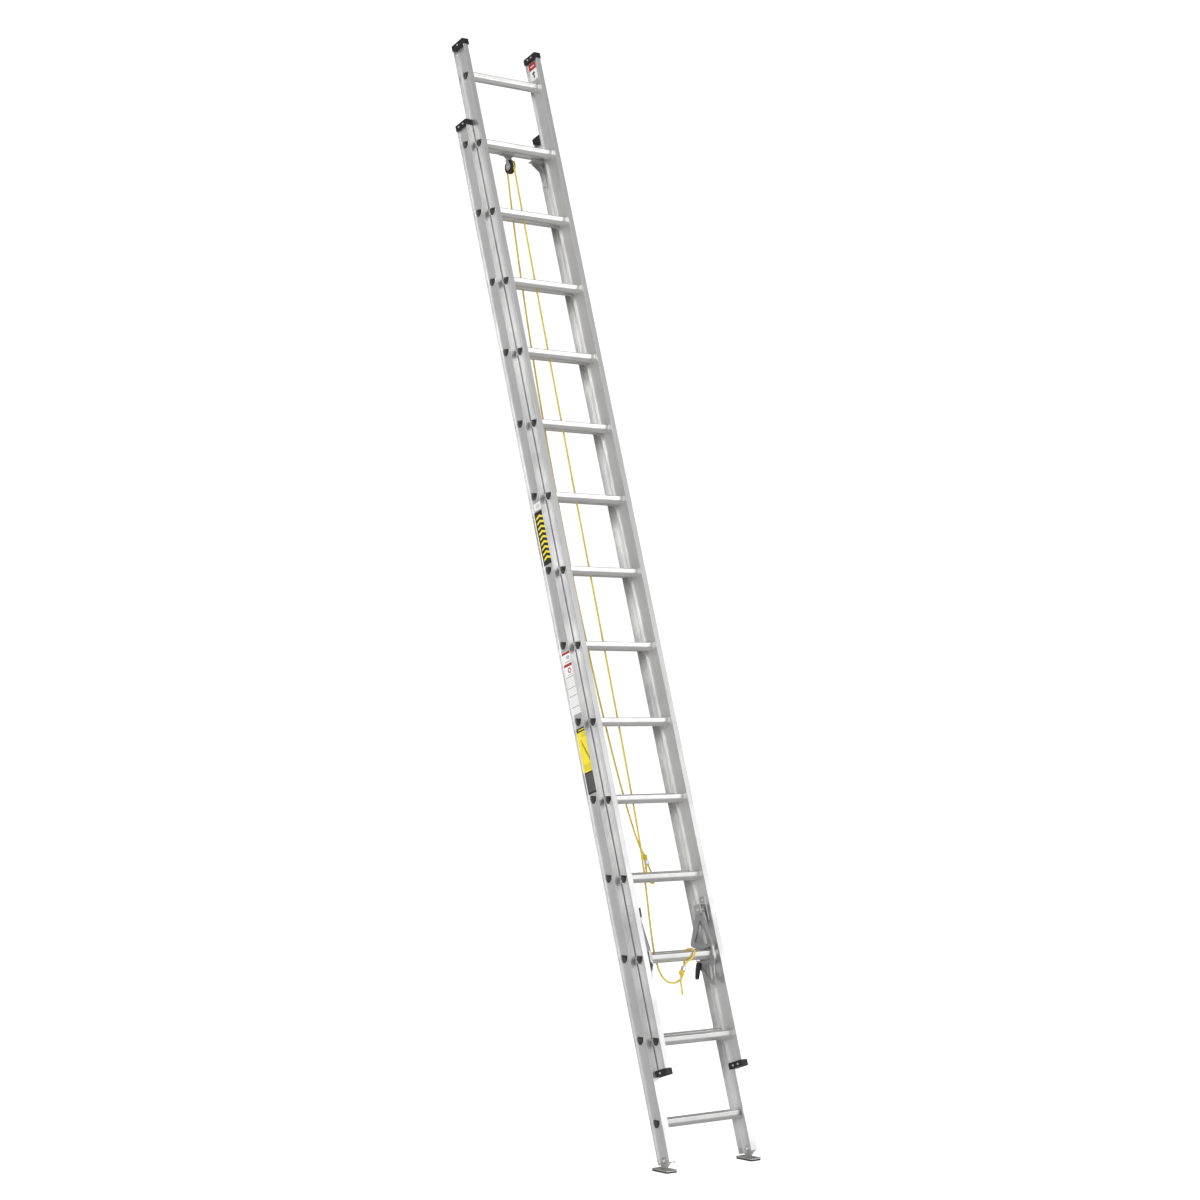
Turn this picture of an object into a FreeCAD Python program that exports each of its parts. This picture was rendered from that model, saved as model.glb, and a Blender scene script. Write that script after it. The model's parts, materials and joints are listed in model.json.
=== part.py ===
import FreeCAD, Part
import math
import os

# Two-section aluminium extension ladder, leaning at its working angle.
# Every part but the shoes is drawn upright in the ladder's own frame: x across, y towards the wall,
# z up along the rails from the shoe bolts. stand() then leans it over and lifts it to bolt_height,
# so the origin of the finished model is on the floor, midway between the shoe bolts.

V = FreeCAD.Vector

# Stance
lean = math.radians(17.5)      # from upright
bolt_height = 38.0             # shoe bolt above the floor

# Rungs
rung_pitch = 304.8
rung_count = 14
rung_half_width = 19.0
rung_top = 16.0                # tread above the rung's middle
rung_bottom = 17.5             # underside below the rung's middle
rung_waist = 2.0               # where the sides turn in, below the middle
rung_foot = 9.0                # half the width of the underside
rung_wall = 2.0
bead_grow = 3.0                # swaged bead, proud of the rung
bead_length = 4.5
lip_grow = 2.2                 # rolled lip outside the web
lip_length = 2.0
hole_clearance = 0.05
groove_count = 5
groove_width = 1.6
groove_depth = 0.7
groove_pitch = 4.6

# Rails
web_wall = 2.4
flange_wall = 3.2
rail_depth = 68.0
tip_radius = 0.8
root_radius = 2.0
base_width = 408.0             # web middle to web middle
base_inward = 25.0             # rear flange, from the web's middle towards the rungs
hook_gap = 0.6                 # base's front flange outboard of the fly rungs' rolled lips
base_outward = 9.0
lip_wall = 3.0                 # lip turned back from the front flange, that the fly slides on
lip_depth = 6.3
web_gap = 23.5                 # fly web inboard of base web
fly_depth = 73.0
fly_outward = 16.8             # both fly flanges, outboard of the web's middle
fly_front_lip = 6.7            # and inboard of it
fly_rear_lip = 10.0
interlock_gap = 1.0
rung_gap = 1.3                 # fly's rear flange in front of the base's rungs
rung_room = 7.7                # fly rung's bead in front of the fly's rear flange
fly_drop = 17.2                # fly rung below the base rung that it stands level with

# Rail ends
bottom_rung = 134.5            # above the shoe bolt
base_top_margin = 94.0
fly_bottom_margin = 125.0
fly_top_margin = 145.0
flange_end = 8.5               # base flanges end this far below the shoe bolt
tongue_end = 23.5              # base web ends this far below the shoe bolt

# Caps
cap_wall = 2.6
cap_skirt = 21.0
cap_clearance = 1.0            # round the section that slides past
cap_rivet = 2.4
cap_rivet_head = 4.6

# Shoes
shoe_width = 52.0
shoe_length = 88.0
shoe_plate = 4.0
tread_height = 6.0
tread_grooves = 5
ear_wall = 3.0
ear_gap = 0.4
ear_half = 16.0
ear_rise = 12.0                # above the bolt
ear_corner = 11.0
shoe_bolt = 5.0
pin_clearance = 0.1

# Rung locks
lock_rung = 2                  # base rung that the hooks sit on
lock_forward = 55.0            # pivot in front of the base rungs
lock_rise = 153.4              # pivot above the rung it hooks
lock_inboard = 31.5            # hook plate's inner face, from the fly web's middle
lock_plate = 5.0
lock_pin = 4.0
lock_barrel = 11.0
seat_clearance = 0.3
mouth_clearance = 1.0          # round the fly rung that the hook hangs over
hook_column = 9.0              # hook's front column, in front of its mouth
finger_length = 56.0
finger_thickness = 9.0
finger_tilt = math.radians(9.0)
spring_wire = 0.9
spring_turns = 4
sheet = 2.5                    # folded sheet of the lock brackets, pulley and braces

# Pulley
wheel_pitch = 24.0             # rope's centre line on the wheel
wheel_radius = 28.5
wheel_width = 14.0
wheel_drop = 72.4              # wheel's middle below the top rung
wheel_forward = 3.0
cheek_gap = 1.5
axle = 4.0
clamp_width = 60.0

# Rung braces
brace_reach = 60.0
brace_drop = 125.0

# Rope
rope = 8.0                     # diameter
groove_clearance = 0.3
ferrule_length = 16.0
ferrule_wall = 1.2

# Worked out from the above
base_web = base_width / 2
fly_web = base_web - web_gap
base_hook = web_gap - web_wall / 2 - lip_length - hook_gap
rung_front = rung_half_width * math.cos(lean) + rung_top * math.sin(lean)
rung_rear = rung_half_width * math.cos(lean) + rung_waist * math.sin(lean)
rung_low = rung_bottom * math.cos(lean) + rung_foot * math.sin(lean)
fly_rear = -rung_front - rung_gap
fly_face = fly_rear - fly_depth
fly_front = -fly_rear + flange_wall + rung_room + bead_grow + rung_rear
base_front = fly_rear - flange_wall - interlock_gap - lip_depth - flange_wall
base_rear = base_front + rail_depth
base_end = bottom_rung + (rung_count - 1) * rung_pitch + base_top_margin
fly_start = bottom_rung + rung_pitch - fly_drop - fly_bottom_margin
fly_end = bottom_rung + rung_count * rung_pitch - fly_drop + fly_top_margin
top_rung = bottom_rung + (rung_count - 1) * rung_pitch
lock_z = bottom_rung + lock_rung * rung_pitch + lock_rise
seat_radius = (lock_forward * math.sin(lean) + lock_rise * math.cos(lean)
               - rung_top - seat_clearance)
mouth_front = fly_front + rung_front - lock_forward + mouth_clearance
hook_front = mouth_front + hook_column
mouth_radius = math.hypot(fly_front - lock_forward + rung_foot * math.cos(lean)
                          - rung_bottom * math.sin(lean),
                          lock_rise + fly_drop + rung_low) + mouth_clearance
wheel_z = top_rung - wheel_drop
plate_in = fly_web - lock_inboard
ear_in = plate_in - sheet - 2.5
shoe_top = tread_height + shoe_plate


def stand(shape):
    """Leans a shape that is drawn upright, and lifts it to the height of the shoe bolts."""
    out = shape.copy()
    turn = FreeCAD.Rotation(V(1, 0, 0), -math.degrees(lean))
    out.transformShape(FreeCAD.Placement(V(0, 0, bolt_height), turn).toMatrix())
    return out


def other_side(shape):
    return shape.mirror(V(0, 0, 0), V(1, 0, 0))


def flat(z):
    """Places outline points in a plane across the rails."""
    return lambda p: V(p.x, p.y, z)


def side(x, y=0.0, z=0.0):
    """Places outline points in a plane along the rails."""
    return lambda p: V(x, y + p.x, z + p.y)


def facing(y, z=0.0):
    """Places outline points in the plane of the rungs."""
    return lambda p: V(p.x, y, z + p.y)


def outline(corners, place):
    """A closed face through corners (a, b, radius), each rounded to its radius."""
    ends = []
    for i, (a, b, radius) in enumerate(corners):
        here = V(a, b, 0)
        back = V(corners[i - 1][0], corners[i - 1][1], 0) - here
        on = V(corners[(i + 1) % len(corners)][0], corners[(i + 1) % len(corners)][1], 0) - here
        back.normalize()
        on.normalize()
        half = back.getAngle(on) / 2
        cut = radius / math.tan(half)
        bulge = radius / math.sin(half) - radius
        ends.append((here + back * cut, here + (back + on).normalize() * bulge, here + on * cut))
    edges = []
    for i, (start, middle, stop) in enumerate(ends):
        if corners[i][2] > 0:
            edges.append(Part.Arc(place(start), place(middle), place(stop)).toShape())
        following = ends[(i + 1) % len(ends)][0]
        if (following - stop).Length > 1e-6:
            edges.append(Part.LineSegment(place(stop), place(following)).toShape())
    return Part.Face(Part.Wire(edges))


def block(x0, x1, y0, y1, z0, z1):
    return Part.makeBox(x1 - x0, y1 - y0, z1 - z0, V(x0, y0, z0))


def rod(radius, x0, x1, y, z):
    """A cylinder along x."""
    return Part.makeCylinder(radius, x1 - x0, V(x0, y, z), V(1, 0, 0))


def bar(start, stop, thickness, x0, x1, y, z):
    """A straight bar in a plane along the rails, from start to stop, as deep in x as x0 to x1."""
    a = V(start[0], start[1], 0)
    b = V(stop[0], stop[1], 0)
    along = (b - a).normalize()
    across = V(-along.y, along.x, 0) * (thickness / 2)
    corners = [(p.x, p.y, 0) for p in (a - across, b - across, b + across, a + across)]
    return outline(corners, side(x0, y, z)).extrude(V(x1 - x0, 0, 0))


def domed(radius, height, x, y, z, outward):
    """A rivet head that stands on a face square to x and points outward."""
    head = Part.makeCylinder(radius, height, V(x, y, z), V(outward, 0, 0))
    rim = [e for e in head.Edges if abs(e.CenterOfMass.x - x - outward * height) < 0.01]
    return head.makeFillet(height * 0.85, rim)


# Rungs

def rung_outline(grow, x, y, z):
    """The rung's flat-topped section, level when the ladder leans, at (y, z) on the rails."""
    half = rung_half_width
    corners = [(-half, rung_top, 3), (-half, -rung_waist, 10), (-rung_foot, -rung_bottom, 9),
               (rung_foot, -rung_bottom, 9), (half, -rung_waist, 10), (half, rung_top, 3)]
    c = math.cos(lean)
    s = math.sin(lean)
    turned = [(a * c - b * s, a * s + b * c, r) for a, b, r in corners]
    face = outline(turned, side(x, y, z))
    if grow == 0:
        return face
    return Part.Face(face.OuterWire.makeOffset2D(grow))


def rung_prism(grow, x0, x1, y, z):
    return rung_outline(grow, x0, y, z).extrude(V(x1 - x0, 0, 0))


def rung(web, y, z):
    """A hollow rung, beaded against the inside of both webs and rolled over outside them."""
    inside = web - web_wall / 2
    outside = web + web_wall / 2
    end = outside + lip_length
    body = rung_prism(0, -end, end, y, z)
    for x in (-inside, inside - bead_length):
        bead = rung_prism(bead_grow, x, x + bead_length, y, z)
        inner = x + bead_length if x < 0 else x
        rim = [e for e in bead.Edges if abs(e.CenterOfMass.x - inner) < 0.01]
        body = body.fuse(bead.makeFillet(1.8, rim))
    for x in (-end, outside):
        lip = rung_prism(lip_grow, x, x + lip_length, y, z)
        outer = x if x < 0 else x + lip_length
        rim = [e for e in lip.Edges if abs(e.CenterOfMass.x - outer) < 0.01]
        body = body.fuse(lip.makeFillet(1.2, rim))
    cuts = [rung_prism(-rung_wall, -end - 1, end + 1, y, z)]
    reach = inside - bead_length - 6
    for i in range(groove_count):
        a = (i - (groove_count - 1) / 2) * groove_pitch
        groove = block(-reach, reach, a - groove_width / 2, a + groove_width / 2,
                       rung_top - groove_depth, rung_top + 1)
        groove.rotate(V(0, 0, 0), V(1, 0, 0), math.degrees(lean))
        groove.translate(V(0, y, z))
        cuts.append(groove)
    return body.cut(Part.Compound(cuts)).Solids[0]


def base_rung_z(i):
    return bottom_rung + i * rung_pitch


def fly_rung_z(i):
    return bottom_rung + (i + 1) * rung_pitch - fly_drop


# Rails

def base_section():
    """The right base rail: a flat web, flanged both ways, its front flange turned back in a lip."""
    inner = base_web - web_wall / 2
    outer = base_web + web_wall / 2
    tip = base_web + base_outward
    rear = base_rear - flange_wall
    front = base_front + flange_wall
    hook = base_web - base_hook
    return [(base_web - base_inward, base_rear, tip_radius), (base_web - base_inward, rear, tip_radius),
            (inner, rear, root_radius), (inner, front, root_radius), (hook + lip_wall, front, root_radius),
            (hook + lip_wall, front + lip_depth, tip_radius), (hook, front + lip_depth, tip_radius),
            (hook, base_front, tip_radius),
            (tip, base_front, tip_radius), (tip, front, tip_radius),
            (outer, front, root_radius), (outer, rear, root_radius),
            (tip, rear, tip_radius), (tip, base_rear, tip_radius)]


def fly_section():
    """The right fly rail: a flat web, flanged both ways, its rear flange behind the base's lip."""
    inner = fly_web - web_wall / 2
    outer = fly_web + web_wall / 2
    rear = fly_rear - flange_wall
    front = fly_face + flange_wall
    tip = fly_web + fly_outward
    front_lip = fly_web - fly_front_lip
    rear_lip = fly_web - fly_rear_lip
    return [(rear_lip, fly_rear, tip_radius), (rear_lip, rear, tip_radius),
            (inner, rear, root_radius), (inner, front, root_radius),
            (front_lip, front, tip_radius), (front_lip, fly_face, tip_radius),
            (tip, fly_face, tip_radius), (tip, front, tip_radius),
            (outer, front, root_radius), (outer, rear, root_radius),
            (tip, rear, tip_radius), (tip, fly_rear, tip_radius)]


def base_rail():
    body = outline(base_section(), flat(-tongue_end)).extrude(V(0, 0, base_end + tongue_end))
    keep = [(base_front - 1, -flange_end, 0), (-14, -tongue_end, 4), (10, -tongue_end, 4),
            (base_rear + 1, -flange_end, 0), (base_rear + 1, base_end, 0), (base_front - 1, base_end, 0)]
    body = body.common(outline(keep, side(base_web - 30)).extrude(V(60, 0, 0)))
    x0 = base_web - 6
    x1 = base_web + 6
    cuts = [rung_prism(hole_clearance, x0, x1, 0, base_rung_z(i)) for i in range(rung_count)]
    cuts.append(rod(shoe_bolt, x0, x1, 0, 0))
    return body.cut(Part.Compound(cuts)).Solids[0]


def fly_rail():
    body = outline(fly_section(), flat(fly_start)).extrude(V(0, 0, fly_end - fly_start))
    x0 = fly_web - 6
    x1 = fly_web + 6
    cuts = [rung_prism(hole_clearance, x0, x1, -fly_front, fly_rung_z(i)) for i in range(rung_count)]
    cuts.append(rod(lock_pin, x0, x1, -lock_forward, lock_z))
    cuts += [rod(cap_rivet, x0, x1, -lock_forward, lock_z + z) for z in bracket_rivets]
    return body.cut(Part.Compound(cuts)).Solids[0]


# Caps, moulded round the rail ends

def rivet_shank(x, y, z, way):
    end = x + cap_wall * way
    return rod(cap_rivet, min(x, end), max(x, end), y, z)


def cap(box, rail, passage, rivets):
    """A plastic cap: a block less the rail in it, the way that another rail passes, and its rivets."""
    cuts = [rail]
    cuts += passage
    cuts += [rivet_shank(*spot) for spot in rivets]
    body = block(*box)
    upright = [e for e in body.Edges if abs(e.BoundBox.ZLength) > 1 and e.CenterOfMass.x > 0]
    body = body.makeFillet(2.0, upright)
    body = body.cut(Part.Compound(cuts))
    return max(body.Solids, key=lambda s: s.Volume)


base_cap_box = (base_web - base_inward - cap_wall, base_web + base_outward + cap_wall,
                base_front - cap_wall, base_rear + cap_wall,
                base_end - cap_skirt, base_end + cap_wall)
fly_cap_low = fly_web - fly_rear_lip - cap_wall
fly_cap_high = fly_web + fly_outward + cap_wall
fly_top_box = (fly_cap_low, fly_cap_high, fly_face - cap_wall, fly_rear + cap_wall,
               fly_end - cap_skirt, fly_end + cap_wall)
fly_bottom_box = (fly_cap_low, fly_cap_high, fly_face - cap_wall, fly_rear,
                  fly_start - cap_wall, fly_start + cap_skirt)

# Each rivet: its face, where it is on it, and the direction from the face into the cap
base_cap_rivets = [(base_cap_box[1], y, base_end - 10, -1) for y in (-19, 11)]
fly_top_rivets = [(fly_cap_high, -61, fly_end - 10, -1), (fly_cap_low, -73, fly_end - 10, 1),
                  (fly_cap_low, -50, fly_end - 10, 1)]
fly_bottom_rivets = [(fly_cap_high, -66, fly_start + 9, -1), (fly_cap_low, -78, fly_start + 9, 1),
                     (fly_cap_low, -50, fly_start + 9, 1)]


def base_cap(rail):
    """Open where the fly's web and rear flange run past it."""
    c = cap_clearance
    z0 = base_cap_box[4] - 1
    z1 = base_cap_box[5] + 1
    past_web = block(base_cap_box[0] - 1, fly_web + web_wall / 2 + c,
                     base_cap_box[2] - 1, fly_rear + c, z0, z1)
    past_flange = block(base_cap_box[0] - 1, fly_web + fly_outward + c,
                        fly_rear - flange_wall - c, fly_rear + c, z0, z1)
    return cap(base_cap_box, rail, [past_web, past_flange], base_cap_rivets)


def fly_top_cap(rail):
    return cap(fly_top_box, rail, [], fly_top_rivets)


def fly_bottom_cap(rail):
    """Cut away round the base's web and front flange."""
    c = cap_clearance
    z0 = fly_bottom_box[4] - 1
    z1 = fly_bottom_box[5] + 1
    past_flange = block(base_web - base_hook - c, fly_cap_high + 1, base_front - c,
                        fly_rear - flange_wall, z0, z1)
    past_web = block(fly_web + fly_outward, fly_cap_high + 1, base_front - c, fly_rear + 1, z0, z1)
    return cap(fly_bottom_box, rail, [past_flange, past_web], fly_bottom_rivets)


def rivet(x, y, z, way):
    """A cap rivet: its head stands on the face at x and its shank goes in, way."""
    return domed(cap_rivet_head, 1.8, x, y, z, -way).fuse(rivet_shank(x, y, z, way))


# Shoes, drawn where they stand on the floor

def shoe_bracket():
    """A plate with an ear on each side of the right rail's web."""
    plate = outline([(base_web - shoe_width / 2, -shoe_length / 2, 7),
                     (base_web + shoe_width / 2, -shoe_length / 2, 7),
                     (base_web + shoe_width / 2, shoe_length / 2, 7),
                     (base_web - shoe_width / 2, shoe_length / 2, 7)],
                    flat(tread_height)).extrude(V(0, 0, shoe_plate))
    reach = web_wall / 2 + ear_gap
    for x in (base_web - reach - ear_wall, base_web + reach):
        ear = outline([(-ear_half, shoe_top - 1, 0), (ear_half, shoe_top - 1, 0),
                       (ear_half, bolt_height + ear_rise, ear_corner),
                       (-ear_half, bolt_height + ear_rise, ear_corner)],
                      side(x)).extrude(V(ear_wall, 0, 0))
        plate = plate.fuse(ear)
    slots = [block(base_web - 3, base_web + 3, y - 7, y + 7, 0, shoe_top + 1) for y in (-29, 29)]
    slots.append(rod(shoe_bolt + pin_clearance, base_web - 20, base_web + 20, 0, bolt_height))
    return plate.cut(Part.Compound(slots)).removeSplitter().Solids[0]


def shoe_tread():
    """A ribbed rubber pad under the plate."""
    inset = 1.0
    pad = outline([(base_web - shoe_width / 2 + inset, -shoe_length / 2 + inset, 6),
                   (base_web + shoe_width / 2 - inset, -shoe_length / 2 + inset, 6),
                   (base_web + shoe_width / 2 - inset, shoe_length / 2 - inset, 6),
                   (base_web - shoe_width / 2 + inset, shoe_length / 2 - inset, 6)],
                  flat(0)).extrude(V(0, 0, tread_height))
    step = shoe_length / (tread_grooves + 1)
    cuts = [block(base_web - 60, base_web + 60, y - 1.5, y + 1.5, -1, 1.8)
            for y in [-shoe_length / 2 + step * (i + 1) for i in range(tread_grooves)]]
    return pad.cut(Part.Compound(cuts)).Solids[0]


def hexagon(across, x0, x1, y, z):
    """A bolt head or nut along x."""
    corner = across / math.sqrt(3)
    points = [(corner * math.cos(i * math.pi / 3), corner * math.sin(i * math.pi / 3), 0) for i in range(6)]
    return outline(points, side(x0, y, z)).extrude(V(x1 - x0, 0, 0))


def shoe_bolt_solid():
    """A bolt through both ears and the web of the right rail, with its nut inboard."""
    reach = web_wall / 2 + ear_gap + ear_wall + 0.3
    low = base_web - reach
    high = base_web + reach
    body = rod(shoe_bolt, low - 8, high + 1, 0, 0)
    return body.fuse([domed(9.0, 4.5, high, 0, 0, 1), hexagon(15, low - 6, low, 0, 0)])


# Rung locks, right side

def lock_bracket():
    """Folded sheet: a plate on the fly web, a shelf and an ear that carries the pivot pin."""
    web_face = fly_web - web_wall / 2
    plate = outline([(-15, -45, 3), (15, -45, 3), (15, 50, 3), (-15, 50, 3)],
                    side(web_face - sheet, -lock_forward, lock_z)).extrude(V(sheet, 0, 0))
    shelf = block(ear_in, web_face, -lock_forward - 15, -lock_forward + 15,
                  lock_z + 18, lock_z + 18 + sheet)
    ear = outline([(-19, 18 + sheet, 3), (-19, -19, 12), (17, -19, 12), (17, 18 + sheet, 3)],
                  side(ear_in, -lock_forward, lock_z)).extrude(V(sheet, 0, 0))
    holes = [rod(lock_pin, ear_in - 1, web_face + 1, -lock_forward, lock_z)]
    holes += [rod(cap_rivet, web_face - 5, web_face + 1, -lock_forward, lock_z + z) for z in bracket_rivets]
    return plate.fuse([shelf, ear]).cut(Part.Compound(holes)).removeSplitter().Solids[0]


bracket_rivets = (-35.0, 36.0)


def lock_hook():
    """A ribbed plate that hangs on the pivot and sits on the base rung.

    Its seat and the lower edge of its mouth are arcs about the pivot, so it swings off the rung freely.
    """
    y = -lock_forward
    x0 = plate_in
    x1 = plate_in + lock_plate
    body = outline([(-9, 8, 8), (9, 8, 8), (83, -112, 6), (80, -150, 4), (60, -212, 8),
                    (30, -258, 14), (4, -291, 9), (-14, -262, 10), (-22, -218, 12),
                    (-hook_front, -196, 8), (-hook_front, -146, 8)], side(x0, y, lock_z)).extrude(V(lock_plate, 0, 0))
    deep = 17.0
    column = -mouth_front - hook_column / 2
    front = [bar((-9, -10), (column, -150), 8, x0, x0 + deep, y, lock_z),
             bar((column, -146), (column, -190), hook_column - 1, x0, x0 + deep - 6, y, lock_z)]
    rear = [bar((10, -8), (77, -114), 7, x0, x0 + 12, y, lock_z),
            bar((2, -284), (53, -216), 6, x0, x0 + 9, y, lock_z),
            bar((2, -284), (-16, -214), 6, x0, x0 + 9, y, lock_z)]
    body = body.fuse(front + rear)
    shelf = Part.makeCylinder(seat_radius, 13, V(x0, y, lock_z), V(1, 0, 0))
    shelf = shelf.cut(Part.makeCylinder(seat_radius - 6, 15, V(x0 - 1, y, lock_z), V(1, 0, 0)))
    shelf = shelf.common(block(x0, x0 + 13, y - 20, y + 78, lock_z - 200, lock_z))
    body = body.fuse(shelf)
    mouth = Part.makeCylinder(mouth_radius, 60, V(x0 - 5, y, lock_z), V(1, 0, 0))
    mouth = mouth.cut(Part.makeCylinder(seat_radius, 62, V(x0 - 6, y, lock_z), V(1, 0, 0)))
    mouth = mouth.common(block(x0 - 5, x0 + 55, y - mouth_front, y + 120, lock_z - 250, lock_z))
    window = outline([(1, -34, 4), (58, -112, 7), (-15, -134, 6)], side(x0 - 1, y, lock_z))
    window = window.extrude(V(7, 0, 0))
    low_window = outline([(-11, -203, 4), (44, -206, 5), (40, -222, 6), (3, -272, 5), (-5, -256, 5)],
                         side(x0 - 1, y, lock_z)).extrude(V(7, 0, 0))
    body = body.cut(Part.Compound([mouth, window, low_window]))
    body = body.fuse(rod(lock_barrel, x0, fly_web - 14, y, lock_z))
    holes = [rod(lock_pin + pin_clearance, x0 - 1, fly_web, y, lock_z),
             rod(3.0 + pin_clearance, x0 - 1, x1 + 10, y + finger_pivot[0], lock_z + finger_pivot[1])]
    body = body.cut(Part.Compound(holes))
    return max(body.Solids, key=lambda s: s.Volume)


finger_pivot = (56.0, -197.0)


def lock_finger():
    """The hook's swinging tip, with the trunnion that it turns on. It hangs down."""
    y = -lock_forward + finger_pivot[0]
    z = lock_z + finger_pivot[1]
    x0 = plate_in - 0.5 - finger_thickness
    x1 = plate_in - 0.5
    swing = lean + finger_tilt
    c = math.cos(swing)
    s = math.sin(swing)
    shape = [(-8, 8, 7.5), (8, 8, 7.5), (9, -22, 6), (5, -finger_length, 4),
             (-6, -finger_length, 4), (-9, -30, 6)]
    turned = [(a * c - b * s, a * s + b * c, r) for a, b, r in shape]
    body = outline(turned, side(x0, y, z)).extrude(V(x1 - x0, 0, 0))
    pin = rod(3.0, x1 - 1, plate_in + lock_plate + 0.5, y, z)
    head = rod(5.0, plate_in + lock_plate + 0.5, plate_in + lock_plate + 2.5, y, z)
    return body.fuse([pin, head])


def lock_pin_solid():
    """The pivot pin: its head is inboard of the ear, and its tail is closed outside the web."""
    web_out = fly_web + web_wall / 2
    head = domed(7.5, 3.2, ear_in, -lock_forward, lock_z, -1)
    shank = rod(lock_pin, ear_in, web_out, -lock_forward, lock_z)
    return shank.fuse([head, domed(6.5, 2.0, web_out, -lock_forward, lock_z, 1)])


def lock_rivet(z):
    """A rivet through the bracket's plate and the fly web."""
    low = fly_web - web_wall / 2 - sheet
    high = fly_web + web_wall / 2
    body = rod(cap_rivet, low, high, -lock_forward, lock_z + z)
    heads = [domed(cap_rivet_head, 1.8, low, -lock_forward, lock_z + z, -1),
             domed(cap_rivet_head, 1.6, high, -lock_forward, lock_z + z, 1)]
    return body.fuse(heads)


def lock_spring():
    """A torsion spring round the pivot pin, between the hook's barrel and the web plate."""
    room = (fly_web - web_wall / 2 - sheet) - (fly_web - 14)
    length = room - 2 * spring_wire - 1.0
    radius = lock_pin + spring_wire + 1.0
    helix = Part.makeHelix(length / spring_turns, length, radius)
    profile = Part.Wire(Part.makeCircle(spring_wire, V(radius, 0, 0), V(0, 1, 0)))
    coil = Part.Wire(helix).makePipeShell([profile], True, True)
    leg = Part.makeCylinder(spring_wire, 16, V(radius, 0, 0), V(0, -1, 0))
    far_leg = Part.makeCylinder(spring_wire, 12, V(radius, 0, length), V(0, 1, 0))
    body = coil.fuse([leg, far_leg])
    body.rotate(V(0, 0, 0), V(0, 1, 0), 90)
    body.translate(V(fly_web - 14 + spring_wire + 0.5, -lock_forward, lock_z))
    return body.Solids[0]


# Pulley under the middle of the base's top rung

def pulley_clamp():
    """A strap round the rung with a tang below it."""
    half = clamp_width / 2
    strap = rung_prism(sheet + 0.1, -half, half, 0, top_rung)
    tang = outline([(-half + 4, -8, 0), (half - 4, -8, 0), (half - 6, -22, 6), (11, -36, 5), (11, -40, 0),
                    (-11, -40, 0), (-11, -36, 5), (-half + 6, -22, 6)],
                   facing(-wheel_forward - 4, top_rung)).extrude(V(0, 8, 0))
    body = strap.fuse(tang).cut(rung_prism(0.1, -half - 1, half + 1, 0, top_rung))
    hole = Part.makeCylinder(3.0, 20, V(0, -wheel_forward, top_rung - 41), V(0, 0, 1))
    return max(body.cut(hole).Solids, key=lambda s: s.Volume)


def pulley_yoke():
    """Two cheeks hung from a bridge that is screwed to the clamp's tang."""
    inner = wheel_width / 2 + cheek_gap
    outer = inner + sheet
    top = wheel_drop - 40.0
    bridge = block(-outer, outer, -wheel_forward - 9, -wheel_forward + 9,
                   wheel_z + top - sheet, wheel_z + top)
    cheek = [(-8, top, 0), (-8, 14, 10), (-15, 8, 6), (-15, -15, 14.9), (15, -15, 14.9), (15, 8, 6),
             (8, 14, 10), (8, top, 0)]
    cheeks = [outline(cheek, side(x, -wheel_forward, wheel_z)).extrude(V(sheet, 0, 0))
              for x in (-outer, inner)]
    holes = [rod(axle, -outer - 1, outer + 1, -wheel_forward, wheel_z),
             Part.makeCylinder(3.0, 20, V(0, -wheel_forward, wheel_z + top - 10), V(0, 0, 1))]
    return bridge.fuse(cheeks).cut(Part.Compound(holes)).removeSplitter().Solids[0]


def pulley_wheel():
    """A grooved wheel, bored for its axle."""
    half = wheel_width / 2
    body = rod(wheel_radius, -half, half, -wheel_forward, wheel_z)
    rims = [e for e in body.Edges if e.Length > 100 and abs(abs(e.CenterOfMass.x) - half) < 0.01]
    body = body.makeFillet(1.2, rims)
    groove = rope / 2 + groove_clearance
    ring = Part.makeTorus(wheel_pitch, groove, V(0, -wheel_forward, wheel_z), V(1, 0, 0))
    slot = rod(wheel_radius + 1, -groove, groove, -wheel_forward, wheel_z)
    slot = slot.cut(rod(wheel_pitch, -groove - 1, groove + 1, -wheel_forward, wheel_z))
    recesses = [rod(15, x, x + 2, -wheel_forward, wheel_z).cut(rod(8, x, x + 2, -wheel_forward, wheel_z))
                for x in (-half, half - 2)]
    cuts = [ring, slot, rod(axle + pin_clearance, -half - 1, half + 1, -wheel_forward, wheel_z)]
    return body.cut(Part.Compound(cuts)).cut(Part.Compound(recesses)).Solids[0]


def pulley_axle():
    outer = wheel_width / 2 + cheek_gap + sheet
    body = rod(axle, -outer, outer, -wheel_forward, wheel_z)
    return body.fuse([domed(7.0, 2.5, outer, -wheel_forward, wheel_z, 1),
                      domed(7.0, 2.5, -outer, -wheel_forward, wheel_z, -1)])


def pulley_screw():
    """Holds the yoke's bridge up against the clamp's tang."""
    z = wheel_z + wheel_drop - 40.0
    shank = Part.makeCylinder(3.0, 12 + sheet, V(0, -wheel_forward, z - sheet), V(0, 0, 1))
    head = Part.makeCylinder(5.0, 0.7, V(0, -wheel_forward, z - sheet - 0.7), V(0, 0, 1))
    return shank.fuse(head)


# Braces between the base's top rung and its rails

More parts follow.
